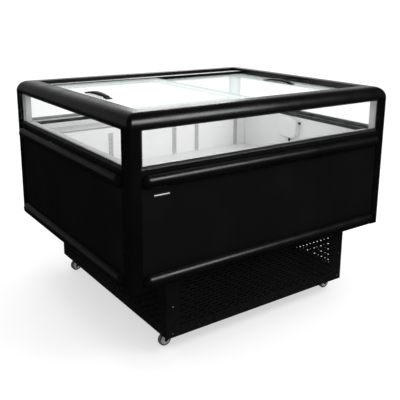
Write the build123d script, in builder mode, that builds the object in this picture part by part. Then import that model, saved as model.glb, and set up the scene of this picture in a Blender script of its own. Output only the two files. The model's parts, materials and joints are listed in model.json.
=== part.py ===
from build123d import *
import os

# Island chest freezer: a glazed display tub with two sliding glass lids, on a slotted
# plinth with four swivel casters. Millimetres, +Z up, X along the long front side, the
# front faces -Y. The origin is on the floor below the middle of the freezer.

os.makedirs("parts", exist_ok=True)

# ---- overall sizes ----
LENGTH = 1230.0  # over the corner posts, X
WIDTH = 1020.0  # over the corner posts, Y
HEIGHT = 900.0  # floor to the top rails
BODY_BOTTOM = 304.0  # floor to the underside of the insulated body
PLINTH_END_SETBACK = 165.0  # plinth behind the end faces
PLINTH_SIDE_SETBACK = 45.0  # plinth behind the front and rear faces

# ---- frame members ----
POST_SIZE = 46.0
POST_WALL = 3.0
POST_RADIUS = 15.0
CASTING_DROP = 7.0  # how far a corner casting reaches below the rails
SPIGOT_LENGTH = 30.0
RAIL_HEIGHT = 45.0
RAIL_WIDTH = 79.0
RAIL_WALL = 3.0
LEDGE_HEIGHT = 15.0
LEDGE_WALL = 3.0
LEDGE_INSET = 2.0
PANEL_INSET = 4.0
PANEL_THICKNESS = 2.0

# ---- bumpers ----
MID_BUMPER_HEIGHT = 46.0
MID_BUMPER_GAP = 4.0  # below the ledge
LOWER_BUMPER_HEIGHT = 48.0
LOWER_BUMPER_GAP = 4.0  # above the underside of the body
BUMPER_PROUD = 20.0  # beyond the corner posts
BUMPER_EDGE = 3.0  # flat edge before the bumper curves
BUMPER_WALL = 3.0
CAP_STRAIGHT = 4.0

# ---- side glass ----
GLASS_HEIGHT = 136.0  # between the ledge and the rails
GLASS_INSET = 6.0
PANE = 4.0
PANE_GAP = 8.0
SPACER_WIDTH = 10.0
TRIM_THICKNESS = 3.0

# ---- lids ----
LID_RECESS = 16.0  # top rails to the top of the upper lid
LID_STEP = 10.0  # between the two lid levels
LID_GLASS = 4.0
LID_CORNER = 3.0
LID_OVERLAP = 40.0
LID_END_GAP = 3.0
TRACK_WIDTH = 59.0
TRACK_WALL = 3.0
TRACK_FLANGE = 2.0
TRACK_TOP_GAP = 2.0
SLIDE_CLEARANCE = 0.3
STRIP_WIDTH = 12.0
STRIP_WALL = 1.6
SEAL_THICKNESS = 2.0
HANDLE_LENGTH = 200.0
HANDLE_WIDTH = 26.0
HANDLE_HEIGHT = 15.5
HANDLE_GRIP = 5.0
HANDLE_FOOT = 30.0
HANDLE_FOOT_THICKNESS = 4.0
HANDLE_INSET = 71.0  # end rail to the middle of the handle

# ---- tub ----
WALL = 60.0  # outer face of the body to the inside of the liner
FLOOR_WALL = 64.0  # underside of the body to the inside of the liner
LINER = 2.0
LINER_RADIUS = 12.0
TRAY_RISE = 134.0  # liner floor to the top of the trays
TRAY_FLANGE = 20.0
TRAY_SHEET = 2.0
TRAY_GAP = 1.0
TRAY_COUNT = 3
DUCT_DROP = 22.0  # below the ledge
DUCT_DEPTH = 100.0  # liner wall to the inner face of a duct panel
DUCT_SHEET = 2.0
UPRIGHT_BEFORE_SEAM = 78.0  # from the seam beside the middle tray
UPRIGHT_AFTER_SEAM = 56.0
UPRIGHT_FROM_END = 65.0  # from the liner's end wall
UPRIGHT_WIDTH = 20.0
UPRIGHT_DEPTH = 4.0
UPRIGHT_BOTTOM_GAP = 5.0
UPRIGHT_TOP_GAP = 32.0
UPRIGHT_SLOT_PITCH = 20.0
UPRIGHT_SLOT = (5.0, 10.0)
POD_WIDTH = 126.0
POD_HEIGHT = 100.0
POD_DEPTH = 30.0
POD_TOP_GAP = 4.0  # below the ledge
POD_RADIUS = 34.0
POD_EDGE = 12.0

# ---- plinth ----
PLATE = 2.0  # base plate and base pan
FRAME_TUBE = 16.0
FRAME_RADIUS = 8.0
GRILLE = 1.5
SLOT_LENGTH = 28.0
SLOT_WIDTH = 4.0
SLOT_PITCH = 40.0
SLOT_ROW_PITCH = 12.3
SLOT_END_MARGIN = 45.0
SLOT_BOTTOM_MARGIN = 43.0
SLOT_TOP_MARGIN = 28.0
INLET_WIDTH = 28.0
INLET_HEIGHT = 19.0
INLET_FLANGE = 6.0  # beyond the socket at each end
INLET_FLANGE_EDGE = 1.0  # beyond the socket above and below
INLET_FLANGE_DEPTH = 2.0
INLET_WALL = 2.5
INLET_RISE = 28.0  # above the base plate
INLET_FROM_END = 200.0
INLET_DEPTH = 24.0
INLET_BACK = 2.0
INLET_PIN = (2.0, 5.0)
INLET_PIN_PITCH = 7.0
INLET_PIN_LENGTH = 16.0
BADGE_LENGTH = 66.0
BADGE_HEIGHT = 14.0
BADGE_CORNER = 3.0
BADGE_THICKNESS = 1.2
BADGE_DROP = 26.0  # middle of the badge below the bumper
BADGE_FROM_POST = 44.0

# ---- casters ----
CASTER_INSET_X = 50.0
CASTER_INSET_Y = 70.0
CASTER_TRAIL = 18.0
CASTER_HEAD = 15.0  # top of the wheel to the underside of the plinth
CASTER_PLATE_SIZE = (64.0, 52.0)
CASTER_PLATE_CORNER = 4.0
WHEEL_RADIUS = 25.0
WHEEL_WIDTH = 18.0
WHEEL_EDGE = 3.0
WHEEL_RIM = 7.0
WHEEL_BOSS = 4.0  # round the bore
WHEEL_RECESS = 2.5
WHEEL_SIDE_GAP = 1.5
AXLE_RADIUS = 3.0
SHAFT_CLEARANCE = 0.05
FORK_SHEET = 2.5
FORK_HEAD_RADIUS = 22.0
FORK_LEG_FRONT = 13.0  # of the kingpin, at the head
FORK_LEG_BACK = 17.0
FORK_EYE = 7.0  # round the axle
FORK_SEAT = 1.0  # legs into the head
CASTER_PLATE = 2.5
SWIVEL_GAP = 0.5
KINGPIN_RADIUS = 5.0
KINGPIN_LENGTH = 7.5

# ---- machinery ----
FAN_TIP_CLEARANCE = 4.0
FAN_BLADES = 5
FAN_PITCH = 28.0
FAN_SHEET = 3.0
FAN_BLADE_SHEET = 1.5
FAN_ARM_WIDTH = 9.0
FAN_HUB_SHARE = 1 / 3  # of the blade tip radius, also the motor
FAN_CHORD_SHARE = 0.55  # of the blade tip radius
COIL_TUBE_RADIUS = 4.8
COIL_FIN = 1.5
COIL_FIN_PITCH = 12.0
COMPRESSOR_RADIUS = 72.0
COMPRESSOR_HEIGHT = 150.0
COMPRESSOR_DOME = 39.6
COMPRESSOR_BAND = (3.0, 5.0)  # proud and high
COMPRESSOR_BAND_RISE = 67.5
COMPRESSOR_FOOT = (172.8, 108.0, 4.0)
COMPRESSOR_FOOT_CORNER = 10.0
TERMINAL_BOX = (30.0, 50.0, 40.0)
TERMINAL_BOX_RISE = 45.0
COMPRESSOR_PLACE = (170.0, 60.0)
EVAPORATOR_SIZE = (620.0, 260.0, 84.0)
EVAPORATOR_TUBES = 4
EVAPORATOR_X = 90.0
EVAPORATOR_FAN_BORDER = 9.0
EVAPORATOR_FAN_RADIUS = 42.0
EVAPORATOR_FAN_DEPTH = 24.0
EVAPORATOR_FAN_GAP = 110.0  # coil end to the fan plate
CONDENSER_SIZE = (60.0, 260.0, 190.0)
CONDENSER_TUBES = 6
CONDENSER_FROM_END = 120.0
CONDENSER_Y = -60.0
CONDENSER_FAN_BORDER = 11.0
CONDENSER_FAN_RADIUS = 85.0
CONDENSER_FAN_DEPTH = 36.0
CONDENSER_FAN_GAP = 70.0  # coil to the fan plate
HUB_SHORTER = 4.0  # fan hub against its shaft

# ---- derived levels and places ----
PLINTH_LENGTH = LENGTH - 2 * PLINTH_END_SETBACK
PLINTH_WIDTH = WIDTH - 2 * PLINTH_SIDE_SETBACK
PLINTH_TOP = BODY_BOTTOM
CASTER_HEIGHT = 2 * WHEEL_RADIUS + CASTER_HEAD
BASE_TOP = CASTER_HEIGHT + PLATE
CASTER_X = PLINTH_LENGTH / 2 - CASTER_INSET_X
CASTER_Y = PLINTH_WIDTH / 2 - CASTER_INSET_Y
INLET_PLACE = (PLINTH_LENGTH / 2 - INLET_FROM_END, BASE_TOP + INLET_RISE)
RAIL_BOTTOM = HEIGHT - RAIL_HEIGHT
POST_TOP = RAIL_BOTTOM - CASTING_DROP
POST_X = (LENGTH - POST_SIZE) / 2
POST_Y = (WIDTH - POST_SIZE) / 2
PANEL_BACK = PANEL_INSET + PANEL_THICKNESS
LEDGE_TOP = RAIL_BOTTOM - GLASS_HEIGHT
LEDGE_BOTTOM = LEDGE_TOP - LEDGE_HEIGHT
MID_BUMPER_BOTTOM = LEDGE_BOTTOM - MID_BUMPER_GAP - MID_BUMPER_HEIGHT
LOWER_BUMPER_BOTTOM = BODY_BOTTOM + LOWER_BUMPER_GAP
BUMPER_LEVELS = (
    (MID_BUMPER_BOTTOM, MID_BUMPER_HEIGHT),
    (LOWER_BUMPER_BOTTOM, LOWER_BUMPER_HEIGHT),
)
CAP_LENGTH = CAP_STRAIGHT + BUMPER_PROUD + PANEL_INSET
LINER_LENGTH = LENGTH - 2 * WALL
LINER_WIDTH = WIDTH - 2 * WALL
LINER_FLOOR = BODY_BOTTOM + FLOOR_WALL
TUB_Y = LINER_WIDTH / 2 - DUCT_DEPTH
TRAY_TOP = LINER_FLOOR + TRAY_RISE
TRAY_PITCH = LINER_LENGTH / TRAY_COUNT
DUCT_TOP = LEDGE_BOTTOM - DUCT_DROP
POD_BOTTOM = LEDGE_BOTTOM - POD_TOP_GAP - POD_HEIGHT
UPPER_LID_TOP = HEIGHT - LID_RECESS
LOWER_LID_TOP = UPPER_LID_TOP - LID_STEP
LIDS = {"left": (-1, UPPER_LID_TOP), "right": (1, LOWER_LID_TOP)}
END_RAIL_FACE = LENGTH / 2 - RAIL_WIDTH
TRACK_FACE = WIDTH / 2 - RAIL_WIDTH
TRACK_TIP = TRACK_FACE - TRACK_WIDTH
LID_OUTER = END_RAIL_FACE - LID_END_GAP
LID_HALF_WIDTH = TRACK_FACE - TRACK_WALL - LID_END_GAP
HANDLE_MIDDLE = END_RAIL_FACE - HANDLE_INSET
CONDENSER_X = CONDENSER_FROM_END - PLINTH_LENGTH / 2

TURNS = {"front": 0, "right": 90, "rear": 180, "left": -90}
CORNERS = {
    "front_left": (-1, -1),
    "front_right": (1, -1),
    "rear_left": (-1, 1),
    "rear_right": (1, 1),
}


def save(builder, name):
    """Label a finished piece and write it out."""
    builder.part.label = name
    export_step(builder.part, f"parts/{name}.step")


def along(side):
    """Direction along a side, left to right as seen from outside."""
    return Vector(1, 0, 0).rotate(Axis.Z, TURNS[side])


def inward(side):
    """Direction from a side towards the middle."""
    return Vector(0, 1, 0).rotate(Axis.Z, TURNS[side])


def run(side, length=LENGTH, width=WIDTH):
    """Length of a side."""
    return length if side in ("front", "rear") else width


def reach(side, length=LENGTH, width=WIDTH):
    """Distance from the middle to a side's outer face."""
    return (width if side in ("front", "rear") else length) / 2


def section_plane(side, out, shift=0.0):
    """Across a side: x points inwards from the outer face, y up, z along the side."""
    origin = inward(side) * -out + along(side) * shift
    return Plane(origin=origin, x_dir=inward(side), z_dir=along(side))


def plan_plane(side, out, height):
    """Over a side: x along it, y inwards from the outer face, z up."""
    origin = inward(side) * -out + Vector(0, 0, height)
    return Plane(origin=origin, x_dir=along(side), z_dir=(0, 0, 1))


def face_plane(side, out):
    """On a side as seen from outside: x along it, y up from the floor, z outwards."""
    return Plane(origin=inward(side) * -out, x_dir=along(side), z_dir=inward(side) * -1)


def outer_vertical_edge(part, sx, sy):
    """The upright edge nearest to a corner of the freezer."""
    uprights = part.edges().filter_by(Axis.Z)
    return uprights.sort_by(lambda edge: sx * edge.center().X + sy * edge.center().Y)[-1]


def corner_square(sx, sy, size, inset=0.0):
    """Square of the given size with its outer corner at a corner of the posts."""
    with Locations((sx * (LENGTH / 2 - inset - size / 2), sy * (WIDTH / 2 - inset - size / 2))):
        Rectangle(size, size)


def post_outline(sx, sy):
    """Section of a corner post, rounded at its outer corner."""
    corner_square(sx, sy, POST_SIZE)
    outer = vertices().sort_by(lambda v: sx * v.X + sy * v.Y)[-1]
    fillet(outer, POST_RADIUS)


def rail_outline(depth):
    """Quarter-round section of a top rail, from its outer face inwards."""
    with BuildLine() as outline:
        Polyline((0, RAIL_BOTTOM), (depth, RAIL_BOTTOM), (depth, HEIGHT), (RAIL_HEIGHT, HEIGHT))
        RadiusArc((0, RAIL_BOTTOM), (RAIL_HEIGHT, HEIGHT), RAIL_HEIGHT)
    make_face(outline.edges())


def casting_outline():
    """Section of a corner casting: the rail's curve with a skirt below it."""
    rail_outline(POST_SIZE)
    with Locations((POST_SIZE / 2, POST_TOP + CASTING_DROP / 2)):
        Rectangle(POST_SIZE, CASTING_DROP)


def box_between(low, high):
    """Box from its low corner to its high corner."""
    size = [b - a for a, b in zip(low, high)]
    middle = [(a + b) / 2 for a, b in zip(low, high)]
    with Locations(tuple(middle)):
        Box(*size)


# ---- plinth ----
def make_plinth_base_plate():
    """Floor of the machine compartment."""
    with BuildPart() as plate:
        with BuildSketch(Plane.XY.offset(CASTER_HEIGHT)):
            Rectangle(PLINTH_LENGTH, PLINTH_WIDTH)
            fillet(vertices(), FRAME_RADIUS)
        extrude(amount=PLATE)
    save(plate, "plinth_base_plate")


def make_plinth_frame():
    """Welded frame: a ring at the bottom, a ring at the top and four uprights."""
    inner = FRAME_TUBE + GRILLE
    with BuildPart() as frame:
        for level in (BASE_TOP, PLINTH_TOP - FRAME_TUBE):
            with BuildSketch(Plane.XY.offset(level)):
                Rectangle(PLINTH_LENGTH - 2 * GRILLE, PLINTH_WIDTH - 2 * GRILLE)
                Rectangle(PLINTH_LENGTH - 2 * inner, PLINTH_WIDTH - 2 * inner, mode=Mode.SUBTRACT)
            extrude(amount=FRAME_TUBE)
        for sx, sy in CORNERS.values():
            x = sx * (PLINTH_LENGTH - FRAME_TUBE) / 2
            y = sy * (PLINTH_WIDTH - FRAME_TUBE) / 2
            with BuildSketch(Plane.XY.offset(BASE_TOP)):
                with Locations((x, y)):
                    Rectangle(FRAME_TUBE, FRAME_TUBE)
            extrude(amount=PLINTH_TOP - BASE_TOP)
        for sx, sy in CORNERS.values():
            fillet(outer_vertical_edge(frame, sx, sy), FRAME_RADIUS)
    save(frame, "plinth_frame")


def slot_rows(usable, first, last):
    """Staggered rows of short slots over a panel's face."""
    rows = int((last - first) / SLOT_ROW_PITCH) + 1
    columns = int((usable - SLOT_LENGTH) / SLOT_PITCH) + 1
    for row in range(rows):
        with Locations((0, first + row * SLOT_ROW_PITCH)):
            with GridLocations(SLOT_PITCH, 0, columns - row % 2, 1):
                SlotOverall(SLOT_LENGTH, SLOT_WIDTH, mode=Mode.SUBTRACT)


def make_grille(side):
    """Slotted sheet between two uprights of the plinth frame."""
    length = run(side, PLINTH_LENGTH, PLINTH_WIDTH)
    out = reach(side, PLINTH_LENGTH, PLINTH_WIDTH)
    with BuildPart() as grille:
        with BuildSketch(face_plane(side, out)):
            with Locations((0, (BASE_TOP + PLINTH_TOP) / 2)):
                Rectangle(length - 2 * FRAME_TUBE, PLINTH_TOP - BASE_TOP)
            slot_rows(
                length - 2 * SLOT_END_MARGIN,
                BASE_TOP + SLOT_BOTTOM_MARGIN,
                PLINTH_TOP - SLOT_TOP_MARGIN,
            )
            if side == "rear":
                with Locations(INLET_PLACE):
                    Rectangle(INLET_WIDTH, INLET_HEIGHT, mode=Mode.SUBTRACT)
        extrude(amount=-GRILLE)
    save(grille, f"grille_{side}")


def make_power_inlet():
    """Appliance inlet in the rear grille: flange, recessed socket and three contact pins."""
    flange_size = (INLET_WIDTH + 2 * INLET_FLANGE, INLET_HEIGHT + 2 * INLET_FLANGE_EDGE)
    recess_size = (INLET_WIDTH - 2 * INLET_WALL, INLET_HEIGHT - 2 * INLET_WALL)
    recess_floor = INLET_BACK - INLET_DEPTH
    plane = face_plane("rear", PLINTH_WIDTH / 2)
    with BuildPart() as inlet:
        with BuildSketch(plane):
            with Locations(INLET_PLACE):
                RectangleRounded(*flange_size, INLET_FLANGE_DEPTH)
        extrude(amount=INLET_FLANGE_DEPTH)
        with BuildSketch(plane):
            with Locations(INLET_PLACE):
                Rectangle(INLET_WIDTH, INLET_HEIGHT)
        extrude(amount=-INLET_DEPTH)
        with BuildSketch(plane.offset(recess_floor)):
            with Locations(INLET_PLACE):
                RectangleRounded(*recess_size, INLET_WALL)
        extrude(amount=INLET_DEPTH, mode=Mode.SUBTRACT)
        with BuildSketch(plane.offset(recess_floor)):
            with Locations(INLET_PLACE):
                with GridLocations(INLET_PIN_PITCH, 0, 3, 1):
                    Rectangle(*INLET_PIN)
        extrude(amount=INLET_PIN_LENGTH)
    save(inlet, "power_inlet")


# ---- casters ----
def make_caster_plates():
    """Four mounting plates under the plinth, each with its kingpin."""
    with BuildPart() as plates:
        with BuildSketch(Plane.XY.offset(CASTER_HEIGHT - CASTER_PLATE)):
            with GridLocations(2 * CASTER_X, 2 * CASTER_Y, 2, 2):
                RectangleRounded(*CASTER_PLATE_SIZE, CASTER_PLATE_CORNER)
        extrude(amount=CASTER_PLATE)
        with BuildSketch(Plane.XY.offset(CASTER_HEIGHT - CASTER_PLATE)):
            with GridLocations(2 * CASTER_X, 2 * CASTER_Y, 2, 2):
                Circle(KINGPIN_RADIUS)
        extrude(amount=-KINGPIN_LENGTH)
    save(plates, "caster_plates")


def make_caster_fork(corner, sx, sy):
    """Swivel fork: round head, two legs trailing outwards, and the axle rivet."""
    x = sx * CASTER_X
    y = sy * CASTER_Y
    trail = sx * CASTER_TRAIL
    head_top = CASTER_HEIGHT - CASTER_PLATE - SWIVEL_GAP
    head = 2 * WHEEL_RADIUS + WHEEL_SIDE_GAP
    leg_offset = WHEEL_WIDTH / 2 + WHEEL_SIDE_GAP
    side_plane = Plane(origin=(x, y, 0), x_dir=(1, 0, 0), z_dir=(0, -1, 0))
    with BuildPart() as fork:
        with BuildSketch(Plane((x, y, head))):
            Circle(FORK_HEAD_RADIUS)
        extrude(amount=head_top - head)
        for way in (-1, 1):
            with BuildSketch(side_plane.offset(way * (leg_offset + FORK_SHEET / 2))):
                with BuildLine():
                    Polyline(
                        (-sx * FORK_LEG_FRONT, head + FORK_SEAT),
                        (trail - sx * FORK_EYE, WHEEL_RADIUS - FORK_EYE / 2),
                        (trail, WHEEL_RADIUS - FORK_EYE),
                        (trail + sx * FORK_EYE, WHEEL_RADIUS - FORK_EYE / 2),
                        (sx * FORK_LEG_BACK, head + FORK_SEAT),
                        (-sx * FORK_LEG_FRONT, head + FORK_SEAT),
                    )
                make_face()
            extrude(amount=FORK_SHEET / 2, both=True)
        with Locations((x, y, head_top)):
            Hole(KINGPIN_RADIUS + SHAFT_CLEARANCE, depth=head_top - head)
        with BuildSketch(side_plane.offset(-leg_offset - FORK_SHEET)):
            with Locations((trail, WHEEL_RADIUS)):
                Circle(AXLE_RADIUS)
        extrude(amount=2 * (leg_offset + FORK_SHEET))
    save(fork, f"caster_fork_{corner}")


def make_caster_wheel(corner, sx, sy):
    """Wheel with a recessed hub on both faces."""
    centre = (sx * (CASTER_X + CASTER_TRAIL), sy * CASTER_Y, WHEEL_RADIUS)
    axle_plane = Plane(origin=centre, x_dir=(1, 0, 0), z_dir=(0, -1, 0))
    with BuildPart(axle_plane) as wheel:
        Cylinder(WHEEL_RADIUS, WHEEL_WIDTH)
        fillet(wheel.edges().filter_by(GeomType.CIRCLE), WHEEL_EDGE)
        with BuildSketch(axle_plane.offset(WHEEL_WIDTH / 2), axle_plane.offset(-WHEEL_WIDTH / 2)):
            Circle(WHEEL_RADIUS - WHEEL_RIM)
            Circle(AXLE_RADIUS + WHEEL_BOSS, mode=Mode.SUBTRACT)
        extrude(amount=WHEEL_RECESS, both=True, mode=Mode.SUBTRACT)
        Hole(AXLE_RADIUS + SHAFT_CLEARANCE)
    save(wheel, f"caster_wheel_{corner}")


# ---- insulated body ----
def make_base_pan():
    """Bottom sheet of the insulated body, between the posts and panels."""
    with BuildPart() as pan:
        with BuildSketch(Plane.XY.offset(BODY_BOTTOM)):
            Rectangle(LENGTH - 2 * PANEL_BACK, WIDTH - 2 * PANEL_BACK)
            with GridLocations(2 * POST_X, 2 * POST_Y, 2, 2):
                Rectangle(POST_SIZE, POST_SIZE, mode=Mode.SUBTRACT)
        extrude(amount=PLATE)
    save(pan, "base_pan")


def make_panel(side):
    """Outer sheet between two corner posts."""
    with BuildPart() as panel:
        with BuildSketch(face_plane(side, reach(side) - PANEL_INSET)):
            with Locations((0, (BODY_BOTTOM + LEDGE_BOTTOM) / 2)):
                Rectangle(run(side) - 2 * POST_SIZE, LEDGE_BOTTOM - BODY_BOTTOM)
        extrude(amount=-PANEL_THICKNESS)
    save(panel, f"panel_{side}")


def make_foam_core():
    """Insulation poured between the outer sheets and the liner."""
    with BuildPart() as foam:
        with BuildSketch(Plane.XY.offset(BODY_BOTTOM + PLATE)):
            Rectangle(LENGTH - 2 * PANEL_BACK, WIDTH - 2 * PANEL_BACK)
            with GridLocations(2 * POST_X, 2 * POST_Y, 2, 2):
                Rectangle(POST_SIZE, POST_SIZE, mode=Mode.SUBTRACT)
        extrude(amount=LEDGE_BOTTOM - BODY_BOTTOM - PLATE)
        with BuildSketch(Plane.XY.offset(LINER_FLOOR - LINER)):
            RectangleRounded(LINER_LENGTH + 2 * LINER, LINER_WIDTH + 2 * LINER, LINER_RADIUS + LINER)
        extrude(amount=LEDGE_BOTTOM - LINER_FLOOR + LINER, mode=Mode.SUBTRACT)
    save(foam, "foam_core")


def make_liner():
    """White inner tub."""
    with BuildPart() as liner:
        with BuildSketch(Plane.XY.offset(LINER_FLOOR - LINER)):
            RectangleRounded(LINER_LENGTH + 2 * LINER, LINER_WIDTH + 2 * LINER, LINER_RADIUS + LINER)
        extrude(amount=LEDGE_BOTTOM - LINER_FLOOR + LINER)
        with BuildSketch(Plane.XY.offset(LINER_FLOOR)):
            RectangleRounded(LINER_LENGTH, LINER_WIDTH, LINER_RADIUS)
        extrude(amount=LEDGE_BOTTOM - LINER_FLOOR, mode=Mode.SUBTRACT)
    save(liner, "liner")


def make_corner_post(corner, sx, sy):
    """Extruded post from the base pan up to the corner casting."""
    with BuildPart() as post:
        with BuildSketch(Plane.XY.offset(BODY_BOTTOM)):
            post_outline(sx, sy)
            offset(amount=-POST_WALL, mode=Mode.SUBTRACT)
        extrude(amount=POST_TOP - BODY_BOTTOM)
    save(post, f"corner_post_{corner}")


def make_corner_castings():
    """Rounded three-way corners that join two rails on top of a post."""
    with BuildPart() as casting:
        with BuildSketch(section_plane("front", WIDTH / 2)):
            casting_outline()
        extrude(amount=LENGTH / 2, both=True)
        with BuildSketch(section_plane("left", LENGTH / 2)):
            casting_outline()
        extrude(amount=WIDTH / 2, both=True, mode=Mode.INTERSECT)
        crest = casting.edges().filter_by(GeomType.ELLIPSE)
        upright = casting.edges().filter_by(Axis.Z)
        upright = upright.sort_by(lambda edge: edge.center().X + edge.center().Y)[0]
        fillet([upright] + list(crest), POST_RADIUS)
        with BuildSketch(Plane.XY.offset(POST_TOP)):
            post_outline(-1, -1)
            offset(amount=-POST_WALL - SLIDE_CLEARANCE, mode=Mode.REPLACE)
        extrude(amount=-SPIGOT_LENGTH)
    with BuildPart() as castings:
        add(casting.part)
        mirror(about=Plane.YZ)
        mirror(about=Plane.XZ)
    save(castings, "corner_castings")


def make_top_rail(side):
    """Hollow quarter-round rail, cut round the castings and mitred inboard of them."""
    half = run(side) / 2
    with BuildPart() as rail:
        with BuildSketch(section_plane(side, reach(side))):
            rail_outline(RAIL_WIDTH)
            offset(amount=-RAIL_WALL, kind=Kind.INTERSECTION, mode=Mode.SUBTRACT)
        extrude(amount=half, both=True)
        with BuildSketch(plan_plane(side, reach(side), RAIL_BOTTOM)):
            with BuildLine():
                Polyline(
                    (POST_SIZE - half, 0),
                    (half - POST_SIZE, 0),
                    (half - POST_SIZE, POST_SIZE),
                    (half - RAIL_WIDTH, RAIL_WIDTH),
                    (RAIL_WIDTH - half, RAIL_WIDTH),
                    (POST_SIZE - half, POST_SIZE),
                    (POST_SIZE - half, 0),
                )
            make_face()
        extrude(amount=RAIL_HEIGHT, mode=Mode.INTERSECT)
    save(rail, f"top_rail_{side}")


def make_breaker_frame():
    """Ledge round the mouth of the tub; a channel, open below, that carries the side glass."""
    channel_length = LINER_LENGTH + 2 * LEDGE_WALL
    channel_width = LINER_WIDTH + 2 * LEDGE_WALL
    margin = 2 * (LEDGE_INSET + LEDGE_WALL)
    with BuildPart() as ledge:
        with BuildSketch(Plane.XY.offset(LEDGE_BOTTOM)):
            Rectangle(LENGTH - 2 * LEDGE_INSET, WIDTH - 2 * LEDGE_INSET)
            Rectangle(LINER_LENGTH, LINER_WIDTH, mode=Mode.SUBTRACT)
            with GridLocations(2 * POST_X, 2 * POST_Y, 2, 2):
                Rectangle(POST_SIZE, POST_SIZE, mode=Mode.SUBTRACT)
        extrude(amount=LEDGE_HEIGHT)
        with BuildSketch(Plane.XY.offset(LEDGE_BOTTOM)):
            Rectangle(LENGTH - margin, WIDTH - margin)
            Rectangle(channel_length, channel_width, mode=Mode.SUBTRACT)
            with GridLocations(2 * POST_X, 2 * POST_Y, 2, 2):
                Rectangle(
                    POST_SIZE + 2 * LEDGE_WALL,
                    POST_SIZE + 2 * LEDGE_WALL,
                    mode=Mode.SUBTRACT,
                )
        extrude(amount=LEDGE_HEIGHT - LEDGE_WALL, mode=Mode.SUBTRACT)
    save(ledge, "breaker_frame")


# ---- bumpers ----
def bumper_outline(bottom, height):
    """Half-round section on the outer panel."""
    top = bottom + height
    with BuildLine() as outline:
        Polyline(
            (BUMPER_EDGE - PANEL_INSET, top),
            (PANEL_INSET, top),
            (PANEL_INSET, bottom),
            (BUMPER_EDGE - PANEL_INSET, bottom),
        )
        ThreePointArc(
            (BUMPER_EDGE - PANEL_INSET, bottom),
            (-BUMPER_PROUD, (bottom + top) / 2),
            (BUMPER_EDGE - PANEL_INSET, top),
        )
    make_face(outline.edges())


def make_bumper_rails():
    """Hollow bumper strips, two levels on each side, between their end caps."""
    with BuildPart() as strips:
        for side in TURNS:
            for bottom, height in BUMPER_LEVELS:
                with BuildSketch(section_plane(side, reach(side))):
                    bumper_outline(bottom, height)
                    offset(amount=-BUMPER_WALL, kind=Kind.INTERSECTION, mode=Mode.SUBTRACT)
                extrude(amount=run(side) / 2 - POST_SIZE - CAP_LENGTH, both=True)
    save(strips, "bumper_rails")


def make_bumper_caps():
    """Rounded end caps: a short straight length, then the section turned a quarter round."""
    with BuildPart() as caps:
        for side in TURNS:
            strip_end = run(side) / 2 - POST_SIZE - CAP_LENGTH
            for way in (-1, 1):
                for bottom, height in BUMPER_LEVELS:
                    with BuildSketch(section_plane(side, reach(side), way * strip_end)):
                        bumper_outline(bottom, height)
                    extrude(amount=way * CAP_STRAIGHT)
                    turn_plane = section_plane(side, reach(side), way * (strip_end + CAP_STRAIGHT))
                    hinge = Axis(turn_plane.from_local_coords((PANEL_INSET, 0, 0)), (0, 0, 1))
                    with BuildSketch(turn_plane):
                        bumper_outline(bottom, height)
                    revolve(axis=hinge, revolution_arc=way * 90)
    save(caps, "bumper_caps")


def make_badge_plate():
    """Small blank plate on the front panel."""
    x = POST_SIZE + BADGE_FROM_POST + BADGE_LENGTH / 2 - LENGTH / 2
    with BuildPart() as badge:
        with BuildSketch(face_plane("front", WIDTH / 2 - PANEL_INSET)):
            with Locations((x, MID_BUMPER_BOTTOM - BADGE_DROP)):
                RectangleRounded(BADGE_LENGTH, BADGE_HEIGHT, BADGE_CORNER)
        extrude(amount=BADGE_THICKNESS)
    save(badge, "badge_plate")


# ---- side glass ----
def pane_face(side, margin=0.0, mode=Mode.ADD):
    """Opening between the posts, the ledge and the rail, less a margin all round."""
    with Locations((0, (LEDGE_TOP + RAIL_BOTTOM) / 2)):
        width = run(side) - 2 * (POST_SIZE + margin)
        Rectangle(width, GLASS_HEIGHT - 2 * margin, mode=mode)


def make_side_glass(side):
    """Two panes with an air gap."""
    face = face_plane(side, reach(side) - GLASS_INSET)
    with BuildPart() as glass:
        for depth in (0, PANE + PANE_GAP):
            with BuildSketch(face.offset(-depth)):
                pane_face(side)
            extrude(amount=-PANE)
    save(glass, f"side_glass_{side}")


def make_glazing_spacers():
    """Spacer bars round the gap between the panes of each side."""
    with BuildPart() as spacers:
        for side in TURNS:
            with BuildSketch(face_plane(side, reach(side) - GLASS_INSET - PANE)):
                pane_face(side)
                pane_face(side, SPACER_WIDTH, Mode.SUBTRACT)
            extrude(amount=-PANE_GAP)
    save(spacers, "glazing_spacers")


def make_corner_trims():
    """Light covers on the inner faces of the posts, from the ledge to the rails."""
    glass_depth = GLASS_INSET + 2 * PANE + PANE_GAP
    leg = POST_SIZE - glass_depth + TRIM_THICKNESS
    with BuildPart() as trims:
        for sx, sy in CORNERS.values():
            with BuildSketch(Plane.XY.offset(LEDGE_TOP)):
                corner_square(sx, sy, leg, glass_depth)
                corner_square(sx, sy, leg - TRIM_THICKNESS, glass_depth)
            extrude(amount=GLASS_HEIGHT)
            with BuildSketch(Plane.XY.offset(LEDGE_TOP)):
                with Locations((sx * POST_X, sy * POST_Y)):
                    Rectangle(POST_SIZE, POST_SIZE)
            extrude(amount=GLASS_HEIGHT, mode=Mode.SUBTRACT)
    save(trims, "corner_trims")


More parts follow.
